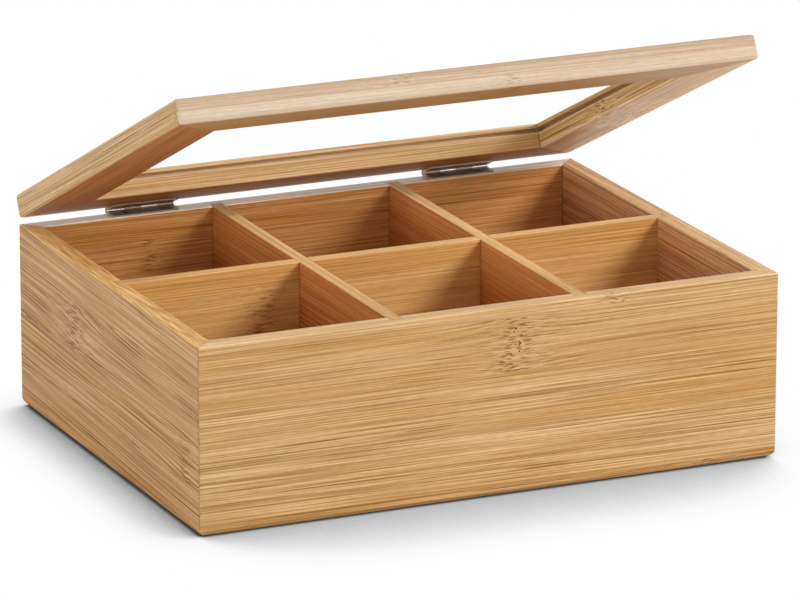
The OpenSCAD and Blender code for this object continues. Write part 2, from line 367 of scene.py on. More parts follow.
fibres_group, bench, given = new_group(
    "bamboo_fibres",
    {
        "Grain": ("vector", None),
        "Seed": ("number", 0.0),
        "Crowding": ("number", 0.5),
        "Fineness": ("number", 1.0),
    },
    dict.fromkeys(SIZES_OF_GRAIN, "number"),
)
patch = bench.noise(given["Grain"], GRAIN_SIZES["patch"], given["Seed"])
band = bench.noise(given["Grain"], GRAIN_SIZES["band"], given["Seed"], rough=0.6)
grain = bench.vector("MULTIPLY", given["Grain"], bench.point(1.0, given["Fineness"], given["Fineness"]))
thread = bench.noise(grain, GRAIN_SIZES["thread"], given["Seed"], detail=0.0)
hair = bench.noise(grain, GRAIN_SIZES["hair"], given["Seed"], detail=0.0)
pore = bench.noise(grain, GRAIN_SIZES["pore"], PORE_SEED, detail=1.0)
crowd = bench.noise(given["Grain"], GRAIN_SIZES["crowd"], CROWD_SEED)
wanted = bench.ramp(bench.math("MULTIPLY_ADD", given["Crowding"], CROWDING_WEIGHT, crowd), *CROWDED)
short = bench.math("MULTIPLY", bundle_lines(bench, grain, "short"), wanted)
line = bench.math("MAXIMUM", short, bundle_lines(bench, grain, "long"))
hand_out(bench, Patch=patch, Band=band, Thread=thread, Hair=hair, Pore=pore, Line=line)
print("fibres group:", len(fibres_group.nodes), "nodes")

# %% [markdown]
# ## Colour of the bamboo
# The group turns those masks into a colour: pale or honey by strip and patch, darker along the fibres,
# golden in places, brown in knots and seams. Each board brings colours of its own.

# %% Group: colour
MOST_BY_PATCH, MOST_BY_BAND, BAND_SPAN = 0.28, 0.12, (0.32, 0.68)
GOLDEN_PATCH = (0.44, 0.62)
DARK_THREAD, MOST_DARK = (0.52, 0.74), 0.62
LIGHT_THREAD, MOST_LIGHT = (0.5, 0.22), 0.8
HAIR_SPAN, HAIR_WEIGHT, PORE_SPAN = (0.24, 0.76), 0.85, (0.25, 0.75)
HAIR_LIGHT, HAIR_DARK = (1.45, 1.58, 1.85, 1.0), (0.60, 0.50, 0.28, 1.0)
PORE_LIGHT, PORE_DARK = (1.08, 1.10, 1.16, 1.0), (0.92, 0.89, 0.82, 1.0)
HALO_WEIGHT, PIT_WEIGHT = 0.3, 0.92
BROWN_MARKS = {"Core": 0.8, "Seam": 0.3}
PIT_BROWN = (0.06, 0.024, 0.007, 1.0)
DIPS = {"Thread": 0.5, "Line": 0.5, "Core": 0.8, "Pits": 2.0, "Seam": 0.4}
SMOOTHEST, ROUGHEST, ROUGHER_LINE = 0.38, 0.52, 0.08

colour_group, bench, given = new_group(
    "bamboo_colour",
    {
        "Pale": ("colour", (0.70, 0.43, 0.20, 1.0)),
        "Honey": ("colour", (0.56, 0.30, 0.11, 1.0)),
        "Fibre": ("colour", (0.33, 0.15, 0.045, 1.0)),
        "Golden": ("colour", (0.63, 0.31, 0.075, 1.0)),
        "Strip": ("vector", (0.5, 0.5, 0.5)),
        "Patch": ("number", 0.5),
        "Band": ("number", 0.5),
        "Thread": ("number", 0.5),
        "Hair": ("number", 0.5),
        "Pore": ("number", 0.5),
        "Line": ("number", 0.0),
        "Line Depth": ("number", 0.45),
        "Core": ("number", 0.0),
        "Halo": ("number", 0.0),
        "Pits": ("number", 0.0),
        "Seam": ("number", 0.0),
    },
    {"Colour": "colour", "Height": "number", "Roughness": "number"},
)
darkness, goldness, lining = bench.split(given["Strip"])
from_patch = bench.ramp(given["Patch"], *NOISE_SPAN, -MOST_BY_PATCH, MOST_BY_PATCH, soft=False)
from_band = bench.ramp(given["Band"], *BAND_SPAN, -MOST_BY_BAND, MOST_BY_BAND, soft=False)
share = bench.math("ADD", bench.math("ADD", from_patch, from_band), darkness, clamp=True)
colour = bench.blend(share, given["Pale"], given["Honey"])
gold = bench.math("MULTIPLY", bench.ramp(given["Patch"], *GOLDEN_PATCH), goldness)
colour = bench.blend(gold, colour, given["Golden"])
weight = bench.math("MULTIPLY", given["Line Depth"], lining)
threads = bench.ramp(given["Thread"], *DARK_THREAD, 0.0, MOST_DARK)
colour = bench.blend(bench.math("MULTIPLY", threads, weight), colour, given["Fibre"])
lights = bench.ramp(given["Thread"], *LIGHT_THREAD, 0.0, MOST_LIGHT)
colour = bench.blend(bench.math("MULTIPLY", lights, weight), colour, given["Pale"])
hair = bench.blend(bench.ramp(given["Hair"], *HAIR_SPAN, soft=False), HAIR_LIGHT, HAIR_DARK)
colour = bench.blend(bench.math("MULTIPLY", weight, HAIR_WEIGHT), colour, hair, "MULTIPLY")
pore = bench.ramp(given["Pore"], *PORE_SPAN, soft=False)
colour = bench.blend(1.0, colour, bench.blend(pore, PORE_LIGHT, PORE_DARK), "MULTIPLY")
colour = bench.blend(bench.math("MULTIPLY", given["Halo"], HALO_WEIGHT), colour, given["Pale"])
colour = bench.blend(bench.math("MULTIPLY", given["Line"], weight), colour, given["Fibre"])
for mark, share in BROWN_MARKS.items():
    colour = bench.blend(bench.math("MULTIPLY", given[mark], share), colour, given["Fibre"])
colour = bench.blend(bench.math("MULTIPLY", given["Pits"], PIT_WEIGHT), colour, PIT_BROWN)
dips = 0.0
for mark, depth in DIPS.items():
    dips = bench.math("MULTIPLY_ADD", given[mark], depth, dips)
roughness = bench.ramp(given["Thread"], *NOISE_SPAN, SMOOTHEST, ROUGHEST, soft=False)
roughness = bench.math("MULTIPLY_ADD", given["Line"], ROUGHER_LINE, roughness)
hand_out(bench, Colour=colour, Height=bench.math("SUBTRACT", 1.0, dips), Roughness=roughness)
print("colour group:", len(colour_group.nodes), "nodes")

# %% [markdown]
# ## Joints and eased edges
# The boards meet at mitres, where a hairline of shadow and glue shows. The first group finds it from the
# board's own shape: at a mitre, a point is as far from the board's end as it is from its outer face.
# The second finds eased edges, where the rounded-over normal turns away from the true one, for a painted
# highlight.

# %% Groups: mitre line and painted highlight on eased edges
RAGGED_SIZE, RAGGED_REACH, HAIRLINE_BORDER = (2.0, 1.5, 2.0), (0.7, 1.3), (0.5, 1.0)
EASED_REACH, TURNED_AWAY = 0.6 * MM, (0.02, 0.25)
EDGE_HIGHLIGHT_PATCH_SIZE, EDGE_HIGHLIGHT_PATCH_SPAN, EDGE_HIGHLIGHT_PATCH_RANGE = (9.0, 9.0, 9.0), (0.35, 0.65), (0.4, 1.0)

mitre_group, bench, given = new_group(
    "mitre_line",
    {"Board": ("vector", None), "Half Length": ("number", 120.0), "Line": ("number", 0.2)},
    {"Mask": "number"},
)
along, _, deep = bench.split(given["Board"])
to_end = bench.math("SUBTRACT", given["Half Length"], bench.math("ABSOLUTE", along))
to_joint = bench.math("MULTIPLY", bench.math("ADD", to_end, deep), math.sqrt(0.5))
ragged = bench.noise(given["Board"], RAGGED_SIZE, seed=2.0)
reach = bench.math("MULTIPLY", given["Line"], bench.ramp(ragged, *NOISE_SPAN, *RAGGED_REACH))
mask = bench.fall(bench.math("DIVIDE", to_joint, reach), *HAIRLINE_BORDER)
hand_out(bench, Mask=mask)

edge_group, bench, given = new_group(
    "eased_edge_highlight",
    {"Reach": ("number", EASED_REACH), "Seed": ("number", 0.0), "Place": ("vector", None)},
    {"Mask": "number", "Normal": "vector"},
)
rounded = bench.node("ShaderNodeBevel", {"Radius": given["Reach"]}, samples=4).outputs["Normal"]
true_normal = bench.node("ShaderNodeNewGeometry").outputs["True Normal"]
turned_away = bench.math("SUBTRACT", 1.0, bench.vector("DOT_PRODUCT", rounded, true_normal))
# painted highlight: eased edges are painted paler, in patches
patches = bench.noise(given["Place"], EDGE_HIGHLIGHT_PATCH_SIZE, given["Seed"], detail=3.0)
painted_highlight = bench.ramp(patches, *EDGE_HIGHLIGHT_PATCH_SPAN, *EDGE_HIGHLIGHT_PATCH_RANGE)
painted_highlight = bench.math("MULTIPLY", bench.ramp(turned_away, *TURNED_AWAY), painted_highlight)
hand_out(bench, Mask=painted_highlight, Normal=rounded)
print("mitre group:", len(mitre_group.nodes), "nodes; edge group:", len(edge_group.nodes), "nodes")

# %% [markdown]
# ## Where each board lies
# Grain runs along a board, so each board gets a frame of its own, in millimetres: X along it, Y up its
# height, Z out of its outer face. A Mapping node does the turning. The lid stands open, so its boards
# are first turned back about the hinge, as if it were closed.

# %% Board frames
def board_frame(along, up, origin, on_lid=False):
    """Location and rotation for a Mapping node that turns the row frame into a board's own frame."""
    along, up = Vector(along), Vector(up)
    turn = Matrix((along, up, along.cross(up)))
    origin = Vector(origin)
    if on_lid:
        opened = Matrix.Rotation(-lid_open, 3, "X")
        origin = lid_pivot + opened @ (origin - lid_pivot)
        turn = turn @ opened.inverted()
    return -(turn @ origin) * TO_MM, turn.to_euler()


UP = (0, 0, 1)
TO_FRONT, TO_REAR = (0, -1, 0), (0, 1, 0)
TO_LEFT, TO_RIGHT = (-1, 0, 0), (1, 0, 0)
SIDES = {
    "front": (TO_RIGHT, (0, wall_middle_y - half_deep)),
    "rear": (TO_LEFT, (0, wall_middle_y + half_deep)),
    "left": (TO_FRONT, (-half_wide, wall_middle_y)),
    "right": (TO_REAR, (half_wide, wall_middle_y)),
}


def side_frame(side, low, on_lid=False):
    """The frame of a board whose outer face looks out of one side and starts at a height."""
    along, (x, y) = SIDES[side]
    return board_frame(along, UP, (x, y, low), on_lid)


frames = {
    "front_wall": side_frame("front", 0),
    "rear_wall": side_frame("rear", 0),
    "left_wall": side_frame("left", 0),
    "right_wall": side_frame("right", 0),
    "lid_front_rail": side_frame("front", lid_under, True),
    "lid_rear_rail": side_frame("rear", lid_under, True),
    "lid_left_stile": side_frame("left", lid_under, True),
    "lid_right_stile": side_frame("right", lid_under, True),
    "cross_divider": board_frame(TO_RIGHT, UP, (0, wall_middle_y, 0)),
    "divider_left": board_frame(TO_FRONT, UP, (divider_middle_x, wall_middle_y, 0)),
    "divider_right": board_frame(TO_FRONT, UP, (-divider_middle_x, wall_middle_y, 0)),
    "bottom_panel": board_frame(TO_RIGHT, TO_REAR, (0, wall_middle_y, panel_under)),
}
print("board frames:", sorted(frames))

# %% [markdown]
# ## Bamboo finish for a board
# One recipe serves all twelve boards, and a short list per board says what differs: its colours, the
# width of its strips, where its knots are, and a seed. A board's inner face, upper edge, underside and
# groove can have colours of their own. Some of these are painted light: the rear rim's pale cream is a
# painted reflection, the left rim and the right stile's underside are painted lighter as if lit more, the
# groove is painted pale against the shade inside it, and the lid front's pale pinkish tone is partly a
# painted sheen. Satin lacquer lies over the bamboo. The rear wall has a second thin coat, which mirrors
# the room on its rim.
# The boards' sizes, the pane's groove and the places where a face's mask starts and is full are given in
# mm, in a board's own frame.

# %% Strips and faces of a board
WALL, WALL_HIGH = wall_thick * TO_MM, wall_high * TO_MM
RAIL, LID_HIGH = 23.8, 10.0
GROOVE_LOW, GROOVE_HIGH, GROOVE_FOOT = 6.1, 8.5, -18.8
SOFT_EDGE = 0.1
INNER_STARTS, INNER_FULL = 0.5, 0.2
RIM_STARTS, RIM_FULL = 0.5, 0.15
UNDER_UP, UNDER_DEEP = (1.6, 0.8), (-0.9, -1.8)


def strip_tones(bench, up, strip, shift, tones):
    """Each strip's darkness, goldness and weight of lines, from the lowest strip up."""
    start = shift - strip if shift > 0 else shift
    height = bench.math("DIVIDE", bench.math("SUBTRACT", up, start), strip * len(tones))
    stops = [(index / len(tones), tone) for index, tone in enumerate(tones)]
    return bench.colour_stops(height, stops, steps=True)


def face_mask(bench, face, up, deep, thick, high):
    """1 on one face of a board: its inner face, its upper edge, its underside or the pane's groove."""
    if face == "inner":
        return bench.ramp(deep, INNER_STARTS - thick, INNER_FULL - thick)
    if face == "rim":
        return bench.ramp(up, high - RIM_STARTS, high - RIM_FULL)
    if face == "under":
        return bench.math("MULTIPLY", bench.ramp(up, *UNDER_UP), bench.ramp(deep, *UNDER_DEEP))
    over_lower_lip = bench.ramp(up, GROOVE_LOW - SOFT_EDGE, GROOVE_LOW + SOFT_EDGE)
    below_upper_lip = bench.ramp(up, GROOVE_HIGH + SOFT_EDGE, GROOVE_HIGH - SOFT_EDGE)
    in_groove = bench.math("MULTIPLY", over_lower_lip, below_upper_lip)
    near_foot = bench.ramp(deep, GROOVE_FOOT + INNER_STARTS, GROOVE_FOOT + INNER_FULL)
    return bench.math("MULTIPLY", in_groove, near_foot)


def knot_at(along, low, high, spread, bow=0.0, strength=1.0):
    """A knot at a place along a board, between two heights; bow is how far the fibres give way to it."""
    return dict(Along=along, Low=low, High=high, Spread=spread, Bow=bow, Strength=strength)


print("walls, thick and high:", WALL, WALL_HIGH, "lid boards, wide and thick:", RAIL, LID_HIGH)

# %% The recipe
MITRE_LINE, MITRE_DEPTH, MITRE_BROWN = 0.16, 2.0, (0.16, 0.07, 0.022, 1.0)
MITRE_FADE, FAINT_OUTSIDE, FULL_ON_RIM = (-0.3, -1.2), 0.12, 0.7
EDGE_HIGHLIGHT_SHARE, EDGE_HIGHLIGHT_COLOUR = 0.8, (0.80, 0.54, 0.28, 1.0)
RELIEF_STRENGTH, RELIEF_DEPTH = 0.35, 0.06 * MM
SATIN_SHINE, COAT_BLUR = 0.12, 0.2


def bamboo(name, tones, pale, honey, fibre, golden, line_depth, faces=None, length=None, strip=20.0,
           shift=0.0, seed=0.0, lean=0.0, crowding=0.5, fineness=1.0, lacquer=0.0, knots=()):
    """The finish of one board; a length is given to a board that is mitred at its ends."""
    material = bpy.data.materials.new("bamboo_" + name)
    material.use_nodes = True
    bench = Bench(material.node_tree)
    place, turn = frames[name]
    spot = bench.node("ShaderNodeTexCoord").outputs["Object"]
    settings = {"Vector": spot, "Location": place, "Rotation": turn, "Scale": (TO_MM,) * 3}
    board = bench.node("ShaderNodeMapping", settings).outputs["Vector"]
    true_board = board
    _, true_up, true_deep = bench.split(true_board)
    core = halo = pits = 0.0
    for knot in knots:
        marks = place_group(bench, knot_group, Board=board, **knot)
        board = marks["Board"]
        core = bench.math("MAXIMUM", core, marks["Core"])
        halo = bench.math("MAXIMUM", halo, marks["Halo"])
        pits = bench.math("MAXIMUM", pits, marks["Pits"])
    strips = place_group(bench, strips_group, Board=board, Strip_Width=strip, Strip_Shift=shift,
                         Seed=seed, Lean=lean)
    fibres = place_group(bench, fibres_group, Grain=strips["Grain"], Seed=seed, Crowding=crowding,
                         Fineness=fineness)
    thick, high = (RAIL, LID_HIGH) if name.startswith("lid") else (WALL, WALL_HIGH)
    for face, wood in (faces or {}).items():
        here = face_mask(bench, face, true_up, true_deep, thick, high)
        pale, honey, fibre, golden = (
            bench.blend(here, outer, wood[label])
            for label, outer in (("pale", pale), ("honey", honey), ("fibre", fibre), ("golden", golden)))
    paint = place_group(
        bench, colour_group, Pale=pale, Honey=honey, Fibre=fibre, Golden=golden,
        Strip=strip_tones(bench, true_up, strip, shift, tones), Seam=strips["Seam"],
        Line_Depth=line_depth, Core=core, Halo=halo, Pits=pits,
        **{size: fibres[size] for size in SIZES_OF_GRAIN})
    colour, height = paint["Colour"], paint["Height"]
    if length:
        mitre = place_group(bench, mitre_group, Board=true_board, Half_Length=length * TO_MM / 2,
                            Line=MITRE_LINE)["Mask"]
        shown = bench.ramp(true_deep, *MITRE_FADE, FAINT_OUTSIDE, FULL_ON_RIM)
        colour = bench.blend(bench.math("MULTIPLY", mitre, shown), colour, MITRE_BROWN)
        height = bench.math("MULTIPLY_ADD", mitre, -MITRE_DEPTH, height)
    edge = place_group(bench, edge_group, Place=true_board, Seed=seed)
    # painted highlight along the eased edges
    colour = bench.blend(bench.math("MULTIPLY", edge["Mask"], EDGE_HIGHLIGHT_SHARE), colour, EDGE_HIGHLIGHT_COLOUR)
    relief = bench.node("ShaderNodeBump", {
        "Strength": RELIEF_STRENGTH, "Distance": RELIEF_DEPTH, "Height": height, "Normal": edge["Normal"]})
    shader = bench.node("ShaderNodeBsdfPrincipled", {
        "Base Color": colour, "Roughness": paint["Roughness"], "Normal": relief.outputs["Normal"],
        "Specular IOR Level": SATIN_SHINE, "Coat Weight": lacquer, "Coat Roughness": COAT_BLUR})
    bench.node("ShaderNodeOutputMaterial", {"Surface": shader.outputs["BSDF"]})
    return material


def dress(node, material):
    """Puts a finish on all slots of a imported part."""
    mesh = frame["nodes"][node].data
    mesh.materials.clear()
    mesh.materials.append(material)


print("recipe ready")

# %% [markdown]
# ## Woods
# Each face of a board has one of these woods. A wood is four colours, as linear red, green and blue: pale
# and honey for the strips, a dark one for the fibres, and a golden one for broad patches.

# %% The woods of the faces
def tints(pale, honey, fibre, golden, depth):
    """The four colours of a wood, and how strongly its lines are drawn."""
    named = dict(pale=pale, honey=honey, fibre=fibre, golden=golden)
    return {**{name: (*colour, 1.0) for name, colour in named.items()}, "line_depth": depth}


front = tints((0.555, 0.348, 0.16), (0.42, 0.218, 0.068), (0.20, 0.075, 0.011), (0.515, 0.27, 0.072), 0.88)
side = tints((0.555, 0.317, 0.135), (0.415, 0.21, 0.071), (0.16, 0.062, 0.013), (0.52, 0.268, 0.068), 1.1)
rear_inner = tints((0.67, 0.345, 0.124), (0.545, 0.24, 0.069), (0.25, 0.078, 0.014), (0.61, 0.27, 0.053), 0.6)
side_inner = tints((0.68, 0.375, 0.18), (0.56, 0.26, 0.11), (0.25, 0.08, 0.018), (0.62, 0.28, 0.075), 0.6)
across = tints((0.73, 0.425, 0.155), (0.61, 0.32, 0.095), (0.30, 0.11, 0.02), (0.70, 0.38, 0.11), 0.6)
between = tints((0.63, 0.265, 0.085), (0.53, 0.19, 0.047), (0.21, 0.055, 0.01), (0.56, 0.21, 0.04), 0.6)
# lid front: pale pinkish colours, partly the wood's own tone, partly a painted sheen of light from above
lid_front = tints((0.585, 0.45, 0.325), (0.465, 0.32, 0.205), (0.32, 0.18, 0.085), (0.55, 0.39, 0.22), 0.4)
lid_front_under = tints((0.60, 0.36, 0.17), (0.50, 0.27, 0.105), (0.24, 0.09, 0.014), (0.55, 0.29, 0.08), 0.7)
lid_rear = tints((0.68, 0.42, 0.20), (0.54, 0.30, 0.115), (0.22, 0.085, 0.012), (0.58, 0.30, 0.08), 0.8)
lid_left = tints((0.64, 0.43, 0.215), (0.51, 0.30, 0.125), (0.20, 0.085, 0.016), (0.54, 0.30, 0.10), 0.8)
lid_left_under = tints((0.76, 0.37, 0.155), (0.60, 0.255, 0.09), (0.24, 0.08, 0.014), (0.64, 0.30, 0.08), 0.8)
lid_right = tints((0.70, 0.43, 0.185), (0.58, 0.32, 0.115), (0.20, 0.075, 0.012), (0.70, 0.41, 0.13), 1.05)
# painted light: the right stile's pale underside stands for light thrown up from the white table
lid_right_under_painted_light = tints((0.92, 0.72, 0.46), (0.84, 0.58, 0.32), (0.42, 0.22, 0.08), (0.86, 0.60, 0.28), 0.6)
front_rim = tints((0.78, 0.52, 0.26), (0.68, 0.42, 0.18), (0.34, 0.15, 0.04), (0.72, 0.44, 0.16), 0.6)
# left rim: partly the wood's own golden tone, partly painted light, lighter than the wall as if lit more
gold_rim_painted_light = tints((0.80, 0.48, 0.19), (0.82, 0.43, 0.11), (0.40, 0.16, 0.03), (0.84, 0.43, 0.08), 0.6)
plain_rim = tints((0.78, 0.48, 0.22), (0.68, 0.39, 0.16), (0.34, 0.15, 0.04), (0.70, 0.40, 0.14), 0.6)
# painted reflection: the rear rim's pale cream stands for the bright room mirrored at a grazing angle
rear_rim_painted_reflection = tints((0.93, 0.81, 0.66), (0.84, 0.71, 0.55), (0.50, 0.34, 0.20), (0.86, 0.71, 0.52), 0.5)
# painted light: the groove is painted pale to lighten the shade inside it
pale_groove_painted_light = tints((0.92, 0.68, 0.42), (0.88, 0.62, 0.35), (0.60, 0.38, 0.18), (0.88, 0.62, 0.33), 0.3)
print("wood of the front:", front)

# %% [markdown]
# ## The twelve boards
# A board's tones are listed from its lowest strip up: how dark it is, how golden, and how strongly its
# lines are drawn. Boards that hide or only show a little have theirs drawn at random, each from a seed.

# %% Dress the boards
WIDE, DEEP = half_wide * 2, half_deep * 2
DARKNESS, GOLDNESS, LINE_WEIGHT = (0.3, 0.7), (0.0, 0.7), (0.6, 1.0)


def drawn_tones(count, seed):
    """Random tones for the strips of a board."""
    draw = random.Random(seed)
    return [tuple(draw.uniform(*reach) for reach in (DARKNESS, GOLDNESS, LINE_WEIGHT)) for _ in range(count)]


FRONT_TONES = [(0.8, 0.6, 1.0), (0.35, 0.15, 1.0), (0.5, 0.45, 0.9), (0.5, 0.15, 0.75), (0.2, 0.0, 0.7)]
LEFT_TONES = [(0.5, 0.3, 0.9), (0.55, 0.5, 1.0), (0.5, 0.1, 1.0), (0.25, 0.0, 0.8)]
REAR_TONES = [(0.5, 0.3, 0.8), (0.4, 0.2, 0.8), (0.5, 0.4, 0.9), (0.3, 0.1, 0.7), (0.9, 0.6, 0.8)]
CROSS_TONES = [(0.5, 0.3, 0.8), (0.5, 0.3, 0.8), (0.3, 0.2, 0.8), (0.15, 0.1, 0.7), (1.0, 0.9, 0.8)]
boards = {
    "front_wall": dict(
        front, faces={"inner": rear_inner, "rim": front_rim}, tones=FRONT_TONES, length=WIDE,
        strip=21.9, shift=4.6, seed=1.0,
        knots=(knot_at(9.5, 48.4, 70.3, spread=5.5, bow=0.15),
               knot_at(51.0, 70.3, 76.0, spread=3.0, strength=0.8),
               knot_at(89.5, -2.0, 4.6, spread=5.0, strength=0.8))),
    "rear_wall": dict(
        front, faces={"inner": rear_inner, "rim": rear_rim_painted_reflection}, tones=REAR_TONES, length=WIDE,
        strip=20.4, shift=2.0, seed=2.0, lacquer=0.45,
        knots=(knot_at(68.5, 50.0, 64.0, spread=3.5, bow=0.1, strength=0.5),)),
    "left_wall": dict(
        side, faces={"inner": side_inner, "rim": gold_rim_painted_light}, tones=LEFT_TONES, length=DEEP,
        strip=20.2, shift=17.9, seed=3.0, lean=0.034, crowding=1.0, fineness=1.2,
        knots=(knot_at(-33.0, 38.1, 58.3, spread=9.0, bow=0.35, strength=0.72),
               knot_at(78.0, 17.9, 38.1, spread=9.0, bow=0.5, strength=0.4))),
    "right_wall": dict(
        side, faces={"inner": side_inner, "rim": plain_rim}, tones=drawn_tones(5, 4), length=DEEP,
        strip=20.8, shift=9.0, seed=4.0, crowding=0.8,
        knots=(knot_at(22.0, 29.8, 50.6, spread=6.0, bow=0.3, strength=0.9),)),
    "lid_front_rail": dict(
        lid_front, tones=[(0.1, 0.1, 0.6), (0.8, 0.1, 0.8)], length=WIDE, strip=5.0, seed=5.0,
        faces={"inner": lid_front_under, "under": lid_front_under, "rim": lid_rear, "groove": pale_groove_painted_light},
        knots=(knot_at(-29.0, 5.0, 10.5, spread=3.5, strength=0.8),
               knot_at(17.0, -0.5, 5.0, spread=4.0, strength=0.5))),
    "lid_rear_rail": dict(
        lid_rear, faces={"groove": pale_groove_painted_light}, tones=drawn_tones(2, 6), length=WIDE,
        strip=5.0, seed=6.0),
    "lid_left_stile": dict(
        lid_left, faces={"under": lid_left_under, "groove": pale_groove_painted_light}, length=DEEP,
        tones=[(0.8, 0.4, 0.9), (0.35, 0.2, 0.8)], strip=5.0, seed=7.0, crowding=0.8),
    "lid_right_stile": dict(
        lid_right, faces={"under": lid_right_under_painted_light, "groove": pale_groove_painted_light}, tones=drawn_tones(2, 8),
        length=DEEP, strip=5.0, seed=8.0, crowding=0.8,
        knots=(knot_at(8.0, -1.0, 8.5, spread=5.0, bow=0.3),)),
    "cross_divider": dict(
        across, faces={"rim": plain_rim}, tones=CROSS_TONES, strip=21.0, shift=3.0, seed=9.0,
        knots=(knot_at(-55.8, 45.0, 66.0, spread=4.5, bow=0.2, strength=0.6),)),
    "divider_left": dict(
        between, faces={"rim": plain_rim}, tones=drawn_tones(5, 10), strip=19.5, shift=6.0, seed=10.0),
    "divider_right": dict(
        between, faces={"rim": plain_rim}, tones=drawn_tones(5, 11), strip=20.5, shift=1.0, seed=11.0),
    "bottom_panel": dict(across, tones=drawn_tones(10, 12), strip=20.0, shift=-100.0, seed=12.0),
}
for node, recipe in boards.items():
    dress(node, bamboo(node, **recipe))
print("boards dressed:", len(boards))

# %% [markdown]
# ## Hinges and screws
# The hinges are stamped from thin steel strip and plated. Their dim brownish colour is painted shade, and
# the brown tint of their mirror is a painted reflection of the wood round them. Faint rolling lines and
# stains lie on them, and they are darker and rougher in the hollows. Along the knuckles of the box leaves a
# bright line is a painted highlight, at an angle round the pin, from straight up towards the front, in
# radians.

# %% Plated steel, painted dim and brownish
ROLLED_SIZE, ROLLED_DEPTH, ROLLED_STRENGTH = (5.0, 0.06, 0.06), 0.01 * MM, 0.2
STAIN_SIZE, STAINED, STAIN_WEIGHT = (1.6, 1.6, 1.6), (0.45, 0.8), 0.5
HOLLOW_REACH, HOLLOW, HOLLOW_WEIGHT = 0.6 * MM, (0.2, 0.9), 0.7
DULL_SPAN, SHINY_TO_DULL = (0.3, 1.3), (0.3, 0.55)
HIGHLIGHT_ANGLE, HIGHLIGHT_FULL, HIGHLIGHT_END = 1.3, 0.07, 0.19
KNUCKLE = 2.1
PAINTED_HIGHLIGHT_COLOUR = (0.93, 0.91, 0.88, 1.0)
# painted reflection: the mirror is tinted brown like the wood round the hinges
PAINTED_WOOD_REFLECTION = (0.45, 0.36, 0.3, 1.0)

metal_group, bench, given = new_group(
    "rolled_metal",
    {
        "Place": ("vector", None),
        "Bright": ("colour", (0.62, 0.60, 0.56, 1.0)),
        "Dull": ("colour", (0.07, 0.05, 0.04, 1.0)),
        "Seed": ("number", 0.0),
    },
    {"Colour": "colour", "Roughness": "number", "Height": "number"},
)
lines = bench.noise(given["Place"], ROLLED_SIZE, given["Seed"])
stains = bench.noise(given["Place"], STAIN_SIZE, given["Seed"], detail=3.0, rough=0.6)
hollow = bench.node("ShaderNodeAmbientOcclusion", {"Distance": HOLLOW_REACH}, samples=4).outputs["AO"]
dulled = bench.math("MULTIPLY", bench.ramp(stains, *STAINED), STAIN_WEIGHT)
dulled = bench.math("MAXIMUM", dulled, bench.ramp(hollow, *HOLLOW, HOLLOW_WEIGHT, 0.0))
roughness = bench.ramp(bench.math("ADD", lines, dulled), *DULL_SPAN, *SHINY_TO_DULL)
colour = bench.blend(dulled, given["Bright"], given["Dull"])
hand_out(bench, Colour=colour, Roughness=roughness, Height=lines)


def plated_steel(name, seed, bright, metallic=0.85, painted_highlight=0.0):
    """Plated steel painted dim; the last argument sets how strong a painted highlight along the knuckles is.
    """
    material = bpy.data.materials.new(name)
    material.use_nodes = True
    bench = Bench(material.node_tree)
    spot = bench.node("ShaderNodeTexCoord").outputs["Object"]
    place = bench.node("ShaderNodeMapping", {"Vector": spot, "Scale": (TO_MM,) * 3}).outputs["Vector"]
    plating = place_group(bench, metal_group, Place=place, Bright=bright, Seed=seed)
    # painted highlight: a bright line round the pin on the knuckles
    from_pin = bench.vector("SUBTRACT", place, lid_pivot * TO_MM)
    behind, above = bench.split(from_pin)[1:]
    round_pin = bench.math("ARCTAN2", bench.math("MULTIPLY", behind, -1.0), above)
    from_line = bench.math("ABSOLUTE", bench.math("SUBTRACT", round_pin, HIGHLIGHT_ANGLE))
    line = bench.ramp(from_line, HIGHLIGHT_FULL, HIGHLIGHT_END, painted_highlight, 0.0)
    from_axis = bench.vector("LENGTH", bench.point(0.0, behind, above))
    line = bench.math("MULTIPLY", line, bench.ramp(from_axis, KNUCKLE + SOFT_EDGE, KNUCKLE - SOFT_EDGE))
    colour = bench.blend(line, plating["Colour"], PAINTED_HIGHLIGHT_COLOUR)
    relief = bench.node("ShaderNodeBump", {
        "Strength": ROLLED_STRENGTH, "Distance": ROLLED_DEPTH, "Height": plating["Height"]})
    shader = bench.node("ShaderNodeBsdfPrincipled", {
        "Base Color": colour, "Metallic": metallic, "Roughness": plating["Roughness"],
        "Specular Tint": PAINTED_WOOD_REFLECTION, "Normal": relief.outputs["Normal"]})
    bench.node("ShaderNodeOutputMaterial", {"Surface": shader.outputs["BSDF"]})
    return material


# painted shade: the dim brownish base colours stand for the lid's shadow and the dark wood they reflect
lid_leaf_finish = plated_steel("shaded_lid_leaf", 1.0, (0.42, 0.31, 0.23, 1.0), metallic=0.55)
box_leaf_finish = plated_steel("highlit_box_leaf", 1.5, (0.46, 0.35, 0.27, 1.0), metallic=0.55, painted_highlight=1.0)
pin_finish = plated_steel("drawn_pin", 2.0, (0.34, 0.29, 0.25, 1.0))
screw_finish = plated_steel("shaded_screw", 3.0, (0.36, 0.31, 0.27, 1.0))
for hinge in ("hinge_left", "hinge_right"):
    dress(hinge + "_lid_leaf", lid_leaf_finish)
    dress(hinge + "_box_leaf", box_leaf_finish)
    dress(hinge + "_pin", pin_finish)
for screws in ("box_hinge_screws", "lid_hinge_screws"):
    dress(screws, screw_finish)
print("metal dressed")

# %% [markdown]
# ## The pane
# The window is clear flat glass. Cycles would let glass stop the lamps' light, so shadow and diffuse
# rays pass straight through. Seen flat along the pane, glass would mirror the whole inside of the box, so
# the mirror image fades out towards a flat view, and the pane's narrow edges, bedded in the wood, stay
# clear. A faint film from wiping is all the detail that clean glass has.

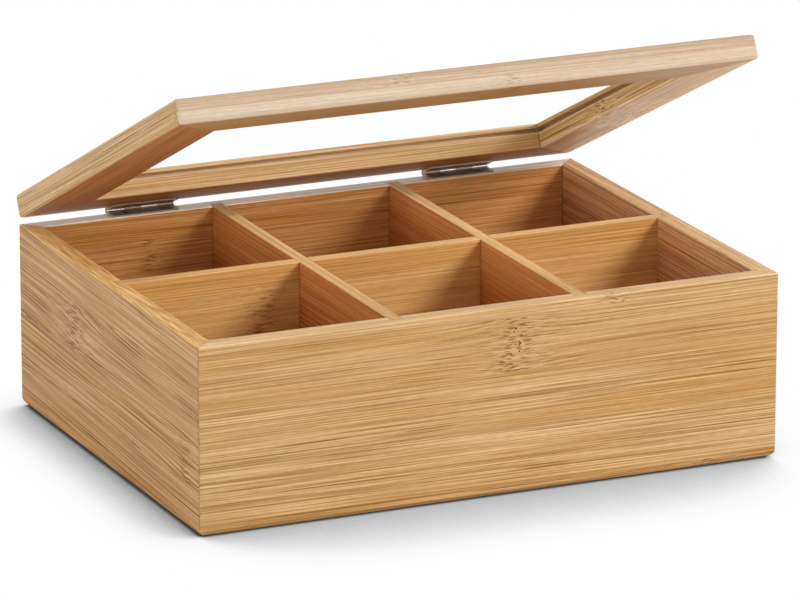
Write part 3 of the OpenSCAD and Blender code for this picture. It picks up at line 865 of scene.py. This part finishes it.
# %% Clear glass
FILM_SIZE, FILM_SPAN, FILM_BLUR = (40.0, 25.0, 25.0), (0.5, 0.9), 0.03
FLAT_VIEW, NARROW_EDGE = (0.5, 0.8), (0.6, 0.4)
GLASS_TINT, EMPTY_TINT = (0.975, 0.99, 0.985, 1.0), (0.99, 0.995, 0.993, 1.0)

glass = bpy.data.materials.new("clear_pane")
glass.use_nodes = True
bench = Bench(glass.node_tree)
spot = bench.node("ShaderNodeTexCoord").outputs
place = bench.node("ShaderNodeMapping", {"Vector": spot["Object"], "Scale": (TO_MM,) * 3}).outputs["Vector"]
film = bench.noise(place, FILM_SIZE, seed=5.0, detail=4.0, rough=0.6)
pane = bench.node("ShaderNodeBsdfPrincipled", {
    "Base Color": GLASS_TINT, "Roughness": bench.ramp(film, *FILM_SPAN, 0.0, FILM_BLUR),
    "IOR": 1.5, "Transmission Weight": 1.0})
clear = bench.node("ShaderNodeBsdfTransparent", {"Color": EMPTY_TINT})
ray = bench.node("ShaderNodeLightPath").outputs
passing = bench.math("MAXIMUM", ray["Is Shadow Ray"], ray["Is Diffuse Ray"])
facing = bench.node("ShaderNodeLayerWeight", {"Blend": 0.5}).outputs["Facing"]
passing = bench.math("MAXIMUM", passing, bench.ramp(facing, *FLAT_VIEW))
pane_up = (0.0, math.sin(lid_open), math.cos(lid_open))
flatness = bench.math("ABSOLUTE", bench.vector("DOT_PRODUCT", spot["Normal"], pane_up))
passing = bench.math("MAXIMUM", passing, bench.ramp(flatness, *NARROW_EDGE))
mixed = bench.node("ShaderNodeMixShader", {"Fac": passing})
bench.tree.links.new(pane.outputs[0], mixed.inputs[1])
bench.tree.links.new(clear.outputs[0], mixed.inputs[2])
bench.node("ShaderNodeOutputMaterial", {"Surface": mixed.outputs[0]})
dress("lid_window", glass)
print("pane dressed")

# %% [markdown]
# ## Table top, lamps and air
# The box stands on a plain white table top in soft light. To the camera, to mirrors and to glass the
# table glows white, and its shadow round the box is painted: the glow is dimmed where a spot has little
# open air round it, looked for in half-spheres that lean, so the painted shadow reaches farther in front.
# The world shows white to the camera, to mirrors and to glass, and gives a dimmer even light to
# everything else. A large lamp in front and to the right makes the front brighter than the left side. A
# weak one above and a low one on the left fill the rims and the left wall.

# %% Rays that see the white surroundings
def rays_that_see(bench):
    """1 for rays from the camera, from mirrors and through glass; 0 for rays that only carry light."""
    ray = bench.node("ShaderNodeLightPath").outputs
    mirrored = bench.math("MAXIMUM", ray["Is Glossy Ray"], ray["Is Transmission Ray"])
    return bench.math("MAXIMUM", ray["Is Camera Ray"], mirrored)


print("rays sorted: some see the white, the rest carry light")

# %% Floor
WHITE = (1.0, 1.0, 1.0, 1.0)
FLOOR_SIZE = 12.0
FLOOR_WHITE = (0.9, 0.9, 0.9, 1.0)
NEAR_REACH, NEAR_LEAN = 0.035, (0.3, 0.0, 0.95)
WIDE_REACH, WIDE_LEAN = 0.085, (0.0, 0.6, 0.8)
NEAR_SHADE = (
    (0.2, 0.04), (0.3, 0.15), (0.38, 0.3), (0.44, 0.49), (0.55, 0.635), (0.7, 0.91), (0.83, 0.975),
    (0.92, 1.0))
WIDE_SHADE = ((0.2, 0.3), (0.31, 0.54), (0.385, 0.62), (0.44, 0.67), (0.53, 0.815), (0.62, 0.95), (0.75, 1.0))


def open_air(bench, reach, lean):
    """Share of open air round a spot of the table top, looked for in a leaning half-sphere."""
    settings = {"Distance": reach, "Normal": bench.point(*lean)}
    return bench.node("ShaderNodeAmbientOcclusion", settings, samples=16).outputs["AO"]


bpy.ops.object.select_all(action="DESELECT")
bpy.ops.mesh.primitive_plane_add(size=FLOOR_SIZE, location=(0, 0, 0))
floor = bpy.context.object
floor.name = "table_top"
floor_finish = bpy.data.materials.new("white_table")
floor_finish.use_nodes = True
bench = Bench(floor_finish.node_tree)
seen = rays_that_see(bench)
matt = bench.node("ShaderNodeBsdfDiffuse", {"Color": FLOOR_WHITE})
# painted shadow: the table's white glow is dimmed where little open air lies round a spot
near = bench.curve(open_air(bench, NEAR_REACH, NEAR_LEAN), NEAR_SHADE)
wide = bench.curve(open_air(bench, WIDE_REACH, WIDE_LEAN), WIDE_SHADE)
shade = bench.math("MINIMUM", near, wide)
glow = bench.node("ShaderNodeEmission", {"Color": WHITE, "Strength": shade})
choice = bench.node("ShaderNodeMixShader", {"Fac": seen})
bench.tree.links.new(matt.outputs[0], choice.inputs[1])
bench.tree.links.new(glow.outputs[0], choice.inputs[2])
bench.node("ShaderNodeOutputMaterial", {"Surface": choice.outputs[0]})
floor.data.materials.append(floor_finish)
print("floor laid")

# %% World
AIR_LIGHT = 0.47
world = bpy.data.worlds.new("studio_air")
bpy.context.scene.world = world
world.use_nodes = True
bench = Bench(world.node_tree)
seen = rays_that_see(bench)
strength = bench.math("MULTIPLY_ADD", seen, 1.0 - AIR_LIGHT, AIR_LIGHT)
sky = bench.node("ShaderNodeBackground", {"Color": WHITE, "Strength": strength})
bench.node("ShaderNodeOutputWorld", {"Surface": sky.outputs[0]})
print("world lit")

# %% Lamps
LAMP_AIM = Vector((0, 0, 0.05))
LAMP_DISTANCE = 2.6


def soft_lamp(name, turn, rise, size, level):
    """A round soft lamp; it lights a white card that faces it to the given level, where 1 is white."""
    data = bpy.data.lights.new(name, "AREA")
    data.shape = "DISK"
    data.size = size
    data.energy = level * math.pi**2 * LAMP_DISTANCE**2
    lamp = bpy.data.objects.new(name, data)
    bpy.context.scene.collection.objects.link(lamp)
    towards = direction(math.radians(turn), math.radians(rise))
    spot = Matrix.Translation(LAMP_AIM + towards * LAMP_DISTANCE)
    lamp.matrix_world = spot @ towards.to_track_quat("Z", "Y").to_matrix().to_4x4()
    return lamp


lamps = (
    soft_lamp("key_lamp", turn=38, rise=29, size=0.95, level=0.68),
    soft_lamp("top_lamp", turn=200, rise=78, size=1.2, level=0.22),
    soft_lamp("left_lamp", turn=-75, rise=8, size=0.8, level=0.3),
)
print("lamps, in watts:", {lamp.name: round(lamp.data.energy, 1) for lamp in lamps})

# %% [markdown]
# ## View settings
# Colours are shown through the plain Standard view transform.

# %% View settings
bpy.context.scene.view_settings.view_transform = "Standard"
